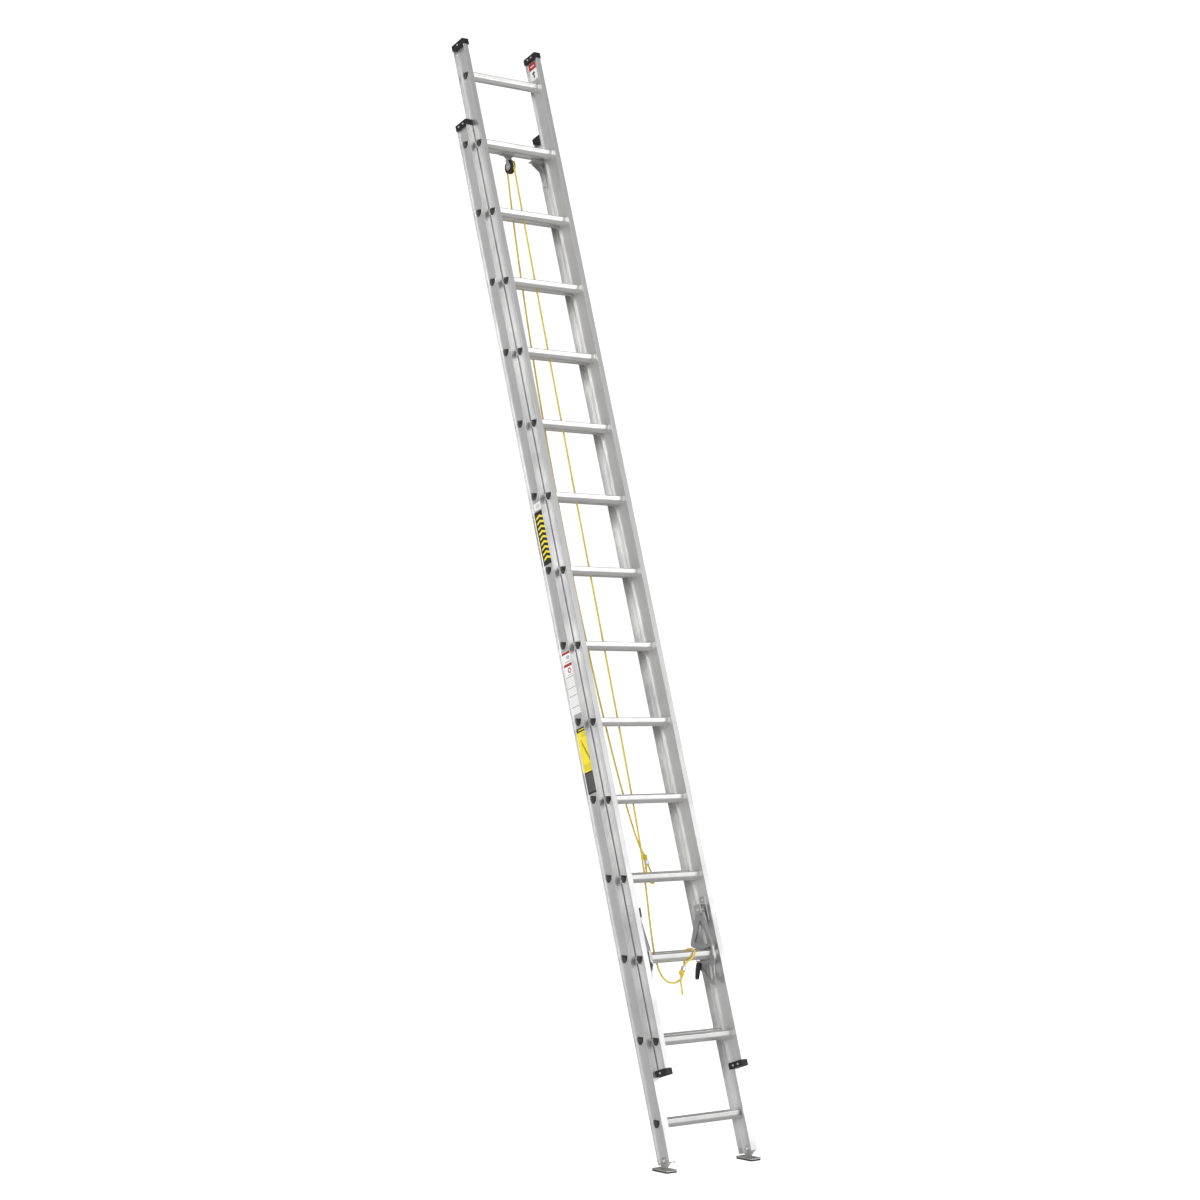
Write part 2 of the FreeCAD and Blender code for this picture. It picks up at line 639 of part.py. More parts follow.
def rung_brace():
    """A gusset behind the right end of the top rung, riveted to it and to the rail's rear flange."""
    rear = base_rear - flange_wall
    end = base_web - web_wall / 2 - root_radius - 0.5
    start = end - brace_reach
    top = -rung_low - 0.6
    shape = [(start, top, 3), (end, top, 0), (end, -brace_drop, 3), (end - 16, -brace_drop, 8),
             (end - 27, -56, 14), (start + 3, top - 9, 5)]
    window = [(end - 26, top - 7, 3), (end - 6, top - 7, 3), (end - 6, top - 33, 3)]
    gusset = outline(shape, facing(rear - sheet, top_rung)).extrude(V(0, sheet, 0))
    opening = outline(window, facing(rear - sheet - 1, top_rung)).extrude(V(0, sheet + 2, 0))
    tab = block(start - 14, start + 44, -10, rear, top_rung + top - sheet, top_rung + top)
    holes = [opening, Part.makeCylinder(cap_rivet, 8, V(start - 7, -3, top_rung + top - 5), V(0, 0, 1))]
    return gusset.fuse(tab).cut(Part.Compound(holes)).removeSplitter().Solids[0]


def brace_rivet():
    """Up through the brace's tab, against the underside of the rung."""
    x = base_web - web_wall / 2 - root_radius - 0.5 - brace_reach - 7
    low = top_rung - rung_low - 0.6 - sheet
    shank = Part.makeCylinder(cap_rivet, sheet + 0.6, V(x, -3, low), V(0, 0, 1))
    head = Part.makeCylinder(cap_rivet_head, 1.8, V(x, -3, low - 1.8), V(0, 0, 1))
    return shank.fuse(head)


# Rope

def cord(name, points):
    """A tube along straight runs joined by tangent arcs. A point's fourth value fixes its arc."""
    spots = [V(*p[:3]) for p in points]
    edges = []
    start = spots[0]
    radii = []
    for i in range(1, len(spots) - 1):
        back = spots[i - 1] - spots[i]
        on = spots[i + 1] - spots[i]
        shorter = min(back.Length, on.Length)
        back.normalize()
        on.normalize()
        turn = math.pi - back.getAngle(on)
        cut = 0.45 * shorter
        if len(points[i]) > 3:
            cut = points[i][3] * math.tan(turn / 2)
        radius = cut / math.tan(turn / 2)
        radii.append(radius)
        first = spots[i] + back * cut
        last = spots[i] + on * cut
        middle = spots[i] + (back + on).normalize() * (radius / math.cos(turn / 2) - radius)
        if (first - start).Length > 1e-4:
            edges.append(Part.LineSegment(start, first).toShape())
        edges.append(Part.Arc(first, middle, last).toShape())
        start = last
    edges.append(Part.LineSegment(start, spots[-1]).toShape())
    path = Part.Wire(edges)
    direction = edges[0].tangentAt(edges[0].FirstParameter)
    profile = Part.Wire(Part.makeCircle(rope / 2, spots[0], direction))
    tube = path.makePipeShell([profile], True, False)
    ratio = tube.Volume / (math.pi * rope ** 2 / 4 * path.Length)
    print(name, "length", round(path.Length), "smallest radius", round(min(radii), 1),
          "volume ratio", round(ratio, 4))
    return tube


def ferrule(middle, along, across):
    """A crimped sleeve round two strands that lie side by side."""
    grip = rope / 2 + groove_clearance
    half = strand_gap / 2 + grip

    def stadium(grow):
        a = half + grow
        b = grip + grow
        sides = [(-a, -b, b - 0.01), (a, -b, b - 0.01), (a, b, b - 0.01), (-a, b, b - 0.01)]
        return outline(sides, flat(-ferrule_length / 2)).extrude(V(0, 0, ferrule_length))

    sleeve = stadium(ferrule_wall).cut(stadium(0))
    third = along.cross(across)
    turn = FreeCAD.Rotation(across, third, along, "ZXY")
    sleeve.transformShape(FreeCAD.Placement(middle, turn).toMatrix())
    return sleeve


# The rope's ways. The lift strand runs between the fly's rungs and the base's rungs, the return strand
# behind both. Heights are above the base's bottom rung.
wheel_corner = 24 * math.tan(math.pi / 8)
lift_route = [(0, -27, 3890), (0, -27.2, 3845), (-6, -28, 3640), (-14, -30, 3240), (-20.5, -31, 2840),
              (-26, -31, 2440), (-30.5, -31, 2040), (-35.5, -31, 1640), (-41.5, -30.5, 1240),
              (-50, -31, 1000), (-66, -31, 840),
              (-79, -31, 720), (-86, -31, 635), (-86, -32, 578), (-77, -33, 532), (-58, -36, 506),
              (-34, -40, 497), (-11, -47, 501)]
return_route = [(0, -27, 3890), (0, -27, 3890 + wheel_corner, 24), (0, -3 - wheel_corner, 3914, 24),
                (0, -3 + wheel_corner, 3914, 24), (0, 21, 3890 + wheel_corner, 24), (0, 21, 3865),
                (-5, 22, 3810), (-15, 24, 3680), (-31, 25, 3460), (-48, 26, 3180), (-62, 26, 2870),
                (-71, 26, 2560), (-73, 26, 2240), (-70, 26, 1940), (-63, 26, 1680), (-52, 26, 1450), (-38, 26, 1260),
                (-20, 26, 1110), (-6, 25, 1030)]
base_loop_route = [(24, 24, 938), (30, 25.5, 914), (23, 19, 888), (-41, -25, 889), (-47, -31, 913),
                   (-43, -30, 937), (-14, 6, 948)]
fly_loop_route = [(42, -38, 568), (52, -32.5, 592), (59, -37, 622), (65, -86, 612), (62, -86, 587)]
tail_route = [(1, -57, 528), (-8, -58, 508), (-10, -57, 480), (-11, -55, 450)]
strand_gap = 8.3               # between two strands' middles in a ferrule
base_ferrule = V(1, 12, 973)
fly_ferrule = V(20, -53, 546)
fly_ferrule_lean = math.radians(30)


def raised(route):
    return [(p[0], p[1], p[2] + bottom_rung) + tuple(p[3:]) for p in route]


def strand(middle, along, across, side_of, reach, *radius):
    """A point on one strand through a ferrule, as far along it as reach."""
    p = middle + across * (side_of * strand_gap / 2) + along * reach
    return (p.x, p.y, p.z) + radius


def rope_nodes():
    """The lift strand, the loop that ties it to the fly, the return strand with its loop, and ferrules."""
    up = V(0, 0, 1)
    right = V(1, 0, 0)
    slant = V(math.sin(fly_ferrule_lean), 0, math.cos(fly_ferrule_lean))
    square = V(math.cos(fly_ferrule_lean), 0, -math.sin(fly_ferrule_lean))
    reach = ferrule_length / 2 + 6
    joint = strand(fly_ferrule, slant, square, 1, -reach)
    lift = lift_route + [strand(fly_ferrule, slant, square, 1, -reach - 18), joint]
    fly_loop = ([joint, strand(fly_ferrule, slant, square, 1, reach, 16)] + fly_loop_route
                + [strand(fly_ferrule, slant, square, -1, reach, 16),
                   strand(fly_ferrule, slant, square, -1, -reach)] + tail_route)
    back = (return_route + [strand(base_ferrule, up, right, 1, reach, 40),
                            strand(base_ferrule, up, right, 1, -reach, 20)]
            + base_loop_route
            + [strand(base_ferrule, up, right, -1, -reach), strand(base_ferrule, up, right, -1, reach)])
    lifted = V(0, 0, bottom_rung)
    return {
        "rope_lift": cord("rope_lift", raised(lift)),
        "rope_fly_loop": cord("rope_fly_loop", raised(fly_loop)),
        "rope_return": cord("rope_return", raised(back)),
        "rope_ferrule_fly": ferrule(fly_ferrule + lifted, slant, square),
        "rope_ferrule_base": ferrule(base_ferrule + lifted, up, right),
    }


def main():
    os.makedirs("parts", exist_ok=True)
    nodes = {}
    base_right = base_rail()
    fly_right = fly_rail()
    for i in range(rung_count):
        nodes["base_rung_%02d" % (i + 1)] = stand(rung(base_web, 0, base_rung_z(i)))
        nodes["fly_rung_%02d" % (i + 1)] = stand(rung(fly_web, -fly_front, fly_rung_z(i)))
    pairs = {
        "base_rail": base_right,
        "fly_rail": fly_right,
        "base_top_cap": base_cap(base_right),
        "fly_top_cap": fly_top_cap(fly_right),
        "fly_bottom_cap": fly_bottom_cap(fly_right),
        "lock_hook": lock_hook(),
        "lock_finger": lock_finger(),
    }
    for name, shape in pairs.items():
        nodes[name + "_right"] = stand(shape)
        nodes[name + "_left"] = stand(other_side(shape))
    for name, shape in (("shoe_bracket", shoe_bracket()), ("shoe_tread", shoe_tread())):
        nodes[name + "_right"] = shape
        nodes[name + "_left"] = other_side(shape)
    groups = {
        "lock_brackets": [lock_bracket()],
        "lock_springs": [lock_spring()],
        "rung_braces": [rung_brace()],
        "fly_fasteners": ([rivet(*spot) for spot in fly_top_rivets + fly_bottom_rivets]
                          + [lock_pin_solid()] + [lock_rivet(z) for z in bracket_rivets]),
        "base_fasteners": ([rivet(*spot) for spot in base_cap_rivets]
                           + [shoe_bolt_solid(), brace_rivet()]),
    }
    for name, solids in groups.items():
        both = solids + [other_side(s) for s in solids]
        if name == "base_fasteners":
            both += [pulley_axle(), pulley_screw()]
        nodes[name] = stand(Part.Compound(both))
    nodes["pulley_clamp"] = stand(pulley_clamp())
    nodes["pulley_yoke"] = stand(pulley_yoke())
    nodes["pulley_wheel"] = stand(pulley_wheel())
    nodes.update({name: stand(shape) for name, shape in rope_nodes().items()})
    for name, shape in nodes.items():
        if not shape.isValid():
            print("not valid:", name)
        shape.exportStep("parts/" + name + ".step")
    print(len(nodes), "nodes")


main()
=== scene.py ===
import json
import math

import bmesh
import bpy
from mathutils import Matrix, Vector


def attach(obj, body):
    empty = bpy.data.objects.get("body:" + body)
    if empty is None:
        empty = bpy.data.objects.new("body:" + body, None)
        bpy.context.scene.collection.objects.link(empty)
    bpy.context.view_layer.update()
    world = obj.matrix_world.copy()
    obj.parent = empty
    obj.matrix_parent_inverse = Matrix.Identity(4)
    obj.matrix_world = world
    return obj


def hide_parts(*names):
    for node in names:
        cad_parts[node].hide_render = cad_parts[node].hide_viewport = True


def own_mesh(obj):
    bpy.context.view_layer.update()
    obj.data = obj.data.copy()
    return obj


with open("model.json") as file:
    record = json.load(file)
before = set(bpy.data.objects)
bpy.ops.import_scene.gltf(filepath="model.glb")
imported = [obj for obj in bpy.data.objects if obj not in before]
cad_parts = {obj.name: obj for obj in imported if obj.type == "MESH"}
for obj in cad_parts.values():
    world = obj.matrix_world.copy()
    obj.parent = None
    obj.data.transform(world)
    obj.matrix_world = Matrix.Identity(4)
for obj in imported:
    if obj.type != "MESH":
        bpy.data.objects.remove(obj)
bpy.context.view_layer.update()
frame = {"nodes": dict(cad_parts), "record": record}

# The ladder's own frame: x across, y towards the wall, z up the rails from the bottom rung.
stance = {
    "lean": math.radians(17.5),
    "boltHeight": 0.038,
    "bottomRung": 0.1345,
}
leanTurn = Matrix.Rotation(-stance["lean"], 4, "X")
standing = (Matrix.Translation((0, 0, stance["boltHeight"])) @ leanTurn
            @ Matrix.Translation((0, 0, stance["bottomRung"])))
upLadder = (leanTurn @ Vector((0, 0, 1))).normalized()


def onLadder(x, y, z):
    return standing @ Vector((x / 1000, y / 1000, z / 1000))


# Shader node groups

def newGroup(name, inputs, outputs):
    group = bpy.data.node_groups.new(name, "ShaderNodeTree")
    for label, kind, value in inputs:
        socket = group.interface.new_socket(label, in_out="INPUT", socket_type=kind)
        socket.default_value = value
    for label, kind in outputs:
        group.interface.new_socket(label, in_out="OUTPUT", socket_type=kind)
    return group, group.nodes.new("NodeGroupInput"), group.nodes.new("NodeGroupOutput")


def addNode(tree, kind, **settings):
    node = tree.nodes.new(kind)
    for key, value in settings.items():
        setattr(node, key, value)
    return node


def addMath(tree, operation, a, b=None, clamp=False):
    node = addNode(tree, "ShaderNodeMath", operation=operation, use_clamp=clamp)
    for socket, value in zip(node.inputs, (a, b)):
        if value is None:
            continue
        if hasattr(value, "links"):
            tree.links.new(value, socket)
        else:
            socket.default_value = value
    return node.outputs[0]


def addNoise(tree, vector, scale, detail=2.0, roughness=0.5, distortion=0.0):
    node = addNode(tree, "ShaderNodeTexNoise", noise_dimensions="3D")
    tree.links.new(vector, node.inputs["Vector"])
    for label, value in (("Scale", scale), ("Detail", detail), ("Roughness", roughness),
                         ("Distortion", distortion)):
        if hasattr(value, "links"):
            tree.links.new(value, node.inputs[label])
        else:
            node.inputs[label].default_value = value
    return node.outputs["Fac"]


def addRange(tree, value, low, high, toLow=0.0, toHigh=1.0):
    node = addNode(tree, "ShaderNodeMapRange", clamp=True)
    tree.links.new(value, node.inputs["Value"])
    for label, number in (("From Min", low), ("From Max", high),
                          ("To Min", toLow), ("To Max", toHigh)):
        node.inputs[label].default_value = number
    return node.outputs["Result"]


def addMix(tree, factor, a, b):
    node = addNode(tree, "ShaderNodeMix", data_type="RGBA")
    for socket, value in ((node.inputs["Factor"], factor),
                          (node.inputs[6], a), (node.inputs[7], b)):
        if hasattr(value, "links"):
            tree.links.new(value, socket)
        else:
            socket.default_value = value
    return node.outputs[2]


def stretched(tree, vector, across, along):
    node = addNode(tree, "ShaderNodeVectorMath", operation="MULTIPLY")
    tree.links.new(vector, node.inputs[0])
    node.inputs[1].default_value = (across, across, along)
    return node.outputs[0]


surfaceOutputs = [("Color", "NodeSocketColor"), ("Roughness", "NodeSocketFloat"),
                  ("Height", "NodeSocketFloat")]


def buildDrawnMetal():
    group, source, sink = newGroup(
        "drawnMetal",
        [("Vector", "NodeSocketVector", (0, 0, 0)),
         ("Tint", "NodeSocketColor", (0.8, 0.8, 0.8, 1)),
         ("Shade", "NodeSocketColor", (0.6, 0.6, 0.6, 1)),
         ("Lines", "NodeSocketFloat", 900.0),
         ("Mottle", "NodeSocketFloat", 9.0), ("Sheen", "NodeSocketFloat", 0.34),
         ("Wear", "NodeSocketFloat", 0.3)],
        surfaceOutputs)
    vector = source.outputs["Vector"]
    lines = addNoise(group, stretched(group, vector, 1.0, 0.006), source.outputs["Lines"],
                     3.0, 0.6)
    broad = addNoise(group, stretched(group, vector, 1.0, 0.03), 120.0, 3.0, 0.6)
    mottle = addNoise(group, vector, source.outputs["Mottle"], 4.0, 0.6)
    marks = addNoise(group, stretched(group, vector, 1.0, 0.2), 260.0, 4.0, 0.7, 1.5)
    marks = addRange(group, marks, 0.66, 0.74)
    marks = addMath(group, "MULTIPLY", marks, source.outputs["Wear"])
    spread = addMath(group, "ADD", addMath(group, "MULTIPLY", lines, 0.4),
                     addMath(group, "MULTIPLY", mottle, 0.6))
    spread = addMath(group, "ADD", spread, addMath(group, "MULTIPLY", broad, 0.35))
    spread = addRange(group, spread, 0.50, 0.88)
    colour = addMix(group, spread, source.outputs["Tint"], source.outputs["Shade"])
    colour = addMix(group, marks, colour, (0.34, 0.34, 0.35, 1))
    rough = addMath(group, "ADD", source.outputs["Sheen"],
                    addMath(group, "MULTIPLY", addMath(group, "SUBTRACT", mottle, 0.5), 0.35))
    rough = addMath(group, "ADD", rough, addMath(group, "MULTIPLY", marks, 0.25), clamp=True)
    height = addMath(group, "ADD", lines, addMath(group, "MULTIPLY", broad, 0.5))
    height = addMath(group, "SUBTRACT", height, addMath(group, "MULTIPLY", marks, 0.6))
    for label, value in (("Color", colour), ("Roughness", rough), ("Height", height)):
        group.links.new(value, sink.inputs[label])
    return group


def buildMouldedGrain():
    group, source, sink = newGroup(
        "mouldedGrain",
        [("Vector", "NodeSocketVector", (0, 0, 0)),
         ("Tint", "NodeSocketColor", (0.02, 0.02, 0.02, 1)),
         ("Dust", "NodeSocketColor", (0.09, 0.09, 0.09, 1)),
         ("Grain", "NodeSocketFloat", 1400.0),
         ("Sheen", "NodeSocketFloat", 0.5), ("Wear", "NodeSocketFloat", 0.5)],
        surfaceOutputs)
    vector = source.outputs["Vector"]
    grain = addNoise(group, vector, source.outputs["Grain"], 2.0, 0.5)
    cloud = addNoise(group, vector, 35.0, 4.0, 0.6)
    scuff = addNoise(group, stretched(group, vector, 1.0, 0.25), 180.0, 3.0, 0.7, 2.0)
    scuff = addRange(group, scuff, 0.60, 0.72)
    dusty = addMath(group, "ADD", scuff, addRange(group, cloud, 0.45, 0.8))
    dusty = addMath(group, "MULTIPLY", dusty, source.outputs["Wear"], clamp=True)
    colour = addMix(group, dusty, source.outputs["Tint"], source.outputs["Dust"])
    uneven = addMath(group, "MULTIPLY", addMath(group, "SUBTRACT", cloud, 0.45), 0.5)
    rough = addMath(group, "ADD", source.outputs["Sheen"], uneven, clamp=True)
    for label, value in (("Color", colour), ("Roughness", rough), ("Height", grain)):
        group.links.new(value, sink.inputs[label])
    return group


def buildTwistedFibre():
    group, source, sink = newGroup(
        "twistedFibre",
        [("Vector", "NodeSocketVector", (0, 0, 0)),
         ("Tint", "NodeSocketColor", (0.8, 0.5, 0.05, 1)),
         ("Shade", "NodeSocketColor", (0.5, 0.3, 0.03, 1)),
         ("Fibres", "NodeSocketFloat", 2600.0)],
        surfaceOutputs)
    vector = source.outputs["Vector"]
    fibres = addNoise(group, stretched(group, vector, 1.0, 0.12), source.outputs["Fibres"],
                      2.0, 0.6)
    soil = addNoise(group, vector, 60.0, 4.0, 0.6)
    mixed = addMath(group, "ADD", addMath(group, "MULTIPLY", fibres, 0.6),
                    addMath(group, "MULTIPLY", soil, 0.5))
    colour = addMix(group, addRange(group, mixed, 0.42, 0.78), source.outputs["Tint"],
                    source.outputs["Shade"])
    rough = addRange(group, soil, 0.3, 0.7, 0.42, 0.62)
    for label, value in (("Color", colour), ("Roughness", rough), ("Height", fibres)):
        group.links.new(value, sink.inputs[label])
    return group


groups = {"drawnMetal": buildDrawnMetal(), "mouldedGrain": buildMouldedGrain(),
          "twistedFibre": buildTwistedFibre()}


# Finishes: which group each uses, how its pattern is turned, and its values

alongRails = (stance["lean"], 0, 0)
alongRungs = (0, math.radians(90), 0)
finishes = {
    "rail_aluminium": {
        "group": "drawnMetal", "turn": alongRails, "metallic": 0.9, "bump": 0.05, "depth": 0.0004,
        "values": {"Tint": (0.80, 0.80, 0.795, 1), "Shade": (0.66, 0.66, 0.66, 1), "Lines": 1100.0,
                   "Mottle": 7.0, "Sheen": 0.40, "Wear": 0.22}},
    "rung_aluminium": {
        "group": "drawnMetal", "turn": alongRungs, "metallic": 0.9, "bump": 0.05, "depth": 0.0003,
        "values": {"Tint": (0.82, 0.82, 0.81, 1), "Shade": (0.68, 0.68, 0.68, 1), "Lines": 1300.0,
                   "Mottle": 14.0, "Sheen": 0.36, "Wear": 0.3}},
    "shoe_plate": {
        "group": "drawnMetal", "turn": (math.radians(90), 0, 0), "metallic": 0.9, "bump": 0.08,
        "depth": 0.0004,
        "values": {"Tint": (0.62, 0.62, 0.61, 1), "Shade": (0.42, 0.42, 0.41, 1), "Lines": 700.0,
                   "Mottle": 30.0, "Sheen": 0.42, "Wear": 0.7}},
    "lock_casting": {
        "group": "drawnMetal", "turn": alongRails, "metallic": 0.95, "bump": 0.06, "depth": 0.0003,
        "values": {"Tint": (0.56, 0.56, 0.56, 1), "Shade": (0.36, 0.36, 0.36, 1), "Lines": 420.0,
                   "Mottle": 40.0, "Sheen": 0.33, "Wear": 0.6}},
    "lock_bracket_plate": {
        "group": "drawnMetal", "turn": alongRails, "metallic": 0.95, "bump": 0.05, "depth": 0.0003,
        "values": {"Tint": (0.66, 0.66, 0.65, 1), "Shade": (0.50, 0.50, 0.50, 1), "Lines": 800.0,
                   "Mottle": 30.0, "Sheen": 0.35, "Wear": 0.5}},
    "zinc_fasteners": {
        "group": "drawnMetal", "turn": alongRungs, "metallic": 1.0, "bump": 0.04, "depth": 0.0002,
        "values": {"Tint": (0.86, 0.86, 0.86, 1), "Shade": (0.66, 0.66, 0.66, 1), "Lines": 1500.0,
                   "Mottle": 90.0, "Sheen": 0.24, "Wear": 0.3}},
    "spring_wire": {
        "group": "drawnMetal", "turn": alongRungs, "metallic": 1.0, "bump": 0.03, "depth": 0.0001,
        "values": {"Tint": (0.60, 0.60, 0.60, 1), "Shade": (0.44, 0.44, 0.44, 1), "Lines": 2500.0,
                   "Mottle": 120.0, "Sheen": 0.26, "Wear": 0.2}},
    "pulley_frame": {
        "group": "drawnMetal", "turn": alongRails, "metallic": 0.9, "bump": 0.05, "depth": 0.0003,
        "values": {"Tint": (0.60, 0.60, 0.60, 1), "Shade": (0.44, 0.44, 0.44, 1), "Lines": 900.0,
                   "Mottle": 40.0, "Sheen": 0.38, "Wear": 0.4}},
    "brace_aluminium": {
        "group": "drawnMetal", "turn": alongRungs, "metallic": 0.9, "bump": 0.05, "depth": 0.0003,
        "values": {"Tint": (0.72, 0.72, 0.715, 1), "Shade": (0.58, 0.58, 0.58, 1), "Lines": 900.0,
                   "Mottle": 30.0, "Sheen": 0.36, "Wear": 0.3}},
    "ferrule_aluminium": {
        "group": "drawnMetal", "turn": alongRails, "metallic": 1.0, "bump": 0.08, "depth": 0.0003,
        "values": {"Tint": (0.74, 0.74, 0.73, 1), "Shade": (0.52, 0.52, 0.52, 1), "Lines": 600.0,
                   "Mottle": 120.0, "Sheen": 0.34, "Wear": 0.6}},
    "cap_plastic": {
        "group": "mouldedGrain", "turn": alongRails, "metallic": 0.0, "bump": 0.18, "depth": 0.0003,
        "values": {"Tint": (0.006, 0.006, 0.007, 1), "Dust": (0.030, 0.030, 0.032, 1),
                   "Grain": 1500.0, "Sheen": 0.50, "Wear": 0.35}},
    "finger_plastic": {
        "group": "mouldedGrain", "turn": alongRails, "metallic": 0.0, "bump": 0.15, "depth": 0.0003,
        "values": {"Tint": (0.009, 0.009, 0.010, 1), "Dust": (0.05, 0.05, 0.052, 1),
                   "Grain": 1700.0, "Sheen": 0.40, "Wear": 0.4}},
    "wheel_plastic": {
        "group": "mouldedGrain", "turn": alongRungs, "metallic": 0.0, "bump": 0.12, "depth": 0.0003,
        "values": {"Tint": (0.012, 0.012, 0.012, 1), "Dust": (0.06, 0.06, 0.06, 1),
                   "Grain": 1300.0, "Sheen": 0.42, "Wear": 0.5}},
    "tread_rubber": {
        "group": "mouldedGrain", "turn": (0, 0, 0), "metallic": 0.0, "bump": 0.3, "depth": 0.0004,
        "values": {"Tint": (0.016, 0.016, 0.016, 1), "Dust": (0.11, 0.105, 0.10, 1),
                   "Grain": 900.0, "Sheen": 0.72, "Wear": 0.8}},
    "rope_fibre": {
        "group": "twistedFibre", "turn": alongRails, "metallic": 0.0, "bump": 0.4, "depth": 0.0006,
        "values": {"Tint": (0.86, 0.66, 0.07, 1), "Shade": (0.64, 0.45, 0.035, 1),
                   "Fibres": 2600.0}},
}


def finishMaterial(name, finish):
    material = bpy.data.materials.new(name)
    material.use_nodes = True
    tree = material.node_tree
    shader = tree.nodes["Principled BSDF"]
    shader.inputs["Metallic"].default_value = finish["metallic"]
    place = addNode(tree, "ShaderNodeTexCoord")
    turned = addNode(tree, "ShaderNodeMapping", vector_type="POINT")
    turned.inputs["Rotation"].default_value = finish["turn"]
    tree.links.new(place.outputs["Object"], turned.inputs["Vector"])
    surface = addNode(tree, "ShaderNodeGroup", node_tree=groups[finish["group"]])
    tree.links.new(turned.outputs["Vector"], surface.inputs["Vector"])
    for label, value in finish["values"].items():
        surface.inputs[label].default_value = value
    tree.links.new(surface.outputs["Color"], shader.inputs["Base Color"])
    tree.links.new(surface.outputs["Roughness"], shader.inputs["Roughness"])
    bump = addNode(tree, "ShaderNodeBump")
    bump.inputs["Strength"].default_value = finish["bump"]
    bump.inputs["Distance"].default_value = finish["depth"]
    tree.links.new(surface.outputs["Height"], bump.inputs["Height"])
    tree.links.new(bump.outputs["Normal"], shader.inputs["Normal"])
    return material


materials = {name: finishMaterial(name, finish) for name, finish in finishes.items()}
slotOf = {part["node"]: part["material_slot"] for part in frame["record"]["subparts"]}
for node, piece in frame["nodes"].items():
    piece.data.materials.clear()
    piece.data.materials.append(materials[slotOf[node]])
print("finishes on", len(frame["nodes"]), "parts")


# Rope

rope = {
    "diameter": 0.008,
    "strands": 3,
    "lay": 0.034,              # length of one full twist
    "step": 0.0030,            # between points along a strand
    "squeeze": 0.54,           # strand's own size, as a share of half the rope
    "wheelTop": 3890,          # where the rope meets the pulley wheel, above the bottom rung, in mm
    "wheelRadius": 24,         # the rope's middle on the wheel, in mm
    "liftFoot": 531.8,         # where the lift strand ends at its ferrule, in mm
    "liftTravel": 2743.2,      # how far the fly section rises, in mm
}
wheelCorner = rope["wheelRadius"] * math.tan(math.pi / 8)
liftRoute = [(0, -27, 3890), (0, -27.2, 3845), (-6, -28, 3640), (-14, -30, 3240), (-20.5, -31, 2840),
             (-26, -31, 2440), (-30.5, -31, 2040), (-35.5, -31, 1640), (-41.5, -30.5, 1240),
             (-50, -31, 1000), (-66, -31, 840), (-79, -31, 720), (-86, -31, 635), (-86, -32, 578),
             (-77, -33, 532), (-58, -36, 506), (-34, -40, 497), (-11, -47, 501),
             (7.6, -53, 516.2), (16.6, -53, 531.8)]
returnRoute = [(0, -27, 3890), (0, -27, 3890 + wheelCorner), (0, -3 - wheelCorner, 3914),
               (0, -3 + wheelCorner, 3914), (0, 21, 3890 + wheelCorner), (0, 21, 3865),
               (-5, 22, 3810), (-15, 24, 3680), (-31, 25, 3460), (-48, 26, 3180), (-62, 26, 2870),
               (-71, 26, 2560), (-73, 26, 2240), (-70, 26, 1940), (-63, 26, 1680), (-52, 26, 1450),
               (-38, 26, 1260), (-20, 26, 1110), (-6, 25, 1030), (5.15, 12, 987), (5.15, 12, 959),
               (24, 24, 938), (30, 25.5, 914), (23, 19, 888), (-41, -25, 889), (-47, -31, 913),
               (-43, -30, 937), (-14, 6, 948), (-3.15, 12, 959), (-3.15, 12, 987)]
flyLoopRoute = [(16.6, -53, 531.8), (30.6, -53, 556.05), (42, -38, 568), (52, -32.5, 592),
                (59, -37, 622), (65, -86, 612), (62, -86, 587), (23.4, -53, 560.2),
                (9.4, -53, 535.95), (1, -57, 528), (-8, -58, 508), (-10, -57, 480),
                (-11, -55, 450)]


def meshOfCurve(curve):
    holder = bpy.data.objects.new(curve.name, curve)
    bpy.context.collection.objects.link(holder)
    bpy.context.view_layer.update()
    settled = bpy.context.evaluated_depsgraph_get()
    mesh = bpy.data.meshes.new_from_object(holder.evaluated_get(settled))
    bpy.data.objects.remove(holder)
    return mesh


def lineOf(points):
    curve = bpy.data.curves.new("route", "CURVE")
    curve.dimensions = "3D"
    curve.resolution_u = 40
    spline = curve.splines.new("NURBS")
    spline.points.add(len(points) - 1)
    for spot, point in zip(spline.points, points):
        spot.co = (*onLadder(*point), 1)
    spline.order_u = 3
    spline.use_endpoint_u = True
    mesh = meshOfCurve(curve)
    line = [v.co.copy() for v in mesh.vertices]
    bpy.data.meshes.remove(mesh)
    return line


def evenly(line, step):
    spots = [line[0]]
    carried = 0.0
    for a, b in zip(line, line[1:]):
        run = (b - a).length
        while run > 0 and carried + run >= step:
            a = a + (b - a) * ((step - carried) / run)
            spots.append(a)
            run = (b - a).length
            carried = 0.0
        carried += run
    if (spots[-1] - line[-1]).length > step * 0.3:
        spots.append(line[-1])
    return spots


